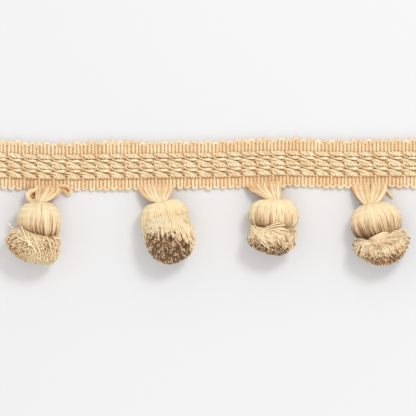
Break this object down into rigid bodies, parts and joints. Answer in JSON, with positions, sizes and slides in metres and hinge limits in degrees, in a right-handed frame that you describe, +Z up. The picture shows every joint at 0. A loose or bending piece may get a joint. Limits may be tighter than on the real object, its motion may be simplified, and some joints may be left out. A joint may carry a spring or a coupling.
{
  "type": "pompom fringe trim",
  "caption": "Length of pompom fringe: a ribbed heading with laid cord rows, from which onion-shaped tassels with cut pompom ends hang on gathered yarns.",
  "frame": {"origin": "on the surface that the trim lies on, under the middle of its bounding box", "axes": "+X along the heading, +Y from the pompoms to the heading's looped upper edge, +Z up from the surface"},
  "size_m": [0.204, 0.0592, 0.0223],
  "materials": {
    "ground_cotton": "ribbed weave of matt cotton yarn",
    "laid_cord": "laid strands of softly shining viscose",
    "tassel_thread": "bundled viscose thread with cut ends"
  },
  "bodies": {
    "root": {"heading": "ground_cotton", "cord_row_1": "laid_cord", "cord_row_2": "laid_cord", "cord_row_3": "laid_cord", "cord_row_4": "laid_cord", "cord_row_5": "laid_cord", "tassel_1_fan": "tassel_thread", "tassel_1_bundle": "tassel_thread", "tassel_1_tie": "tassel_thread", "tassel_2_fan": "tassel_thread", "tassel_2_bundle": "tassel_thread", "tassel_2_tie": "tassel_thread", "tassel_3_fan": "tassel_thread", "tassel_3_bundle": "tassel_thread", "tassel_3_tie": "tassel_thread", "tassel_4_fan": "tassel_thread", "tassel_4_bundle": "tassel_thread", "tassel_4_tie": "tassel_thread", "loose_loop": "tassel_thread", "loose_end": "tassel_thread"}
  },
  "joints": []
}
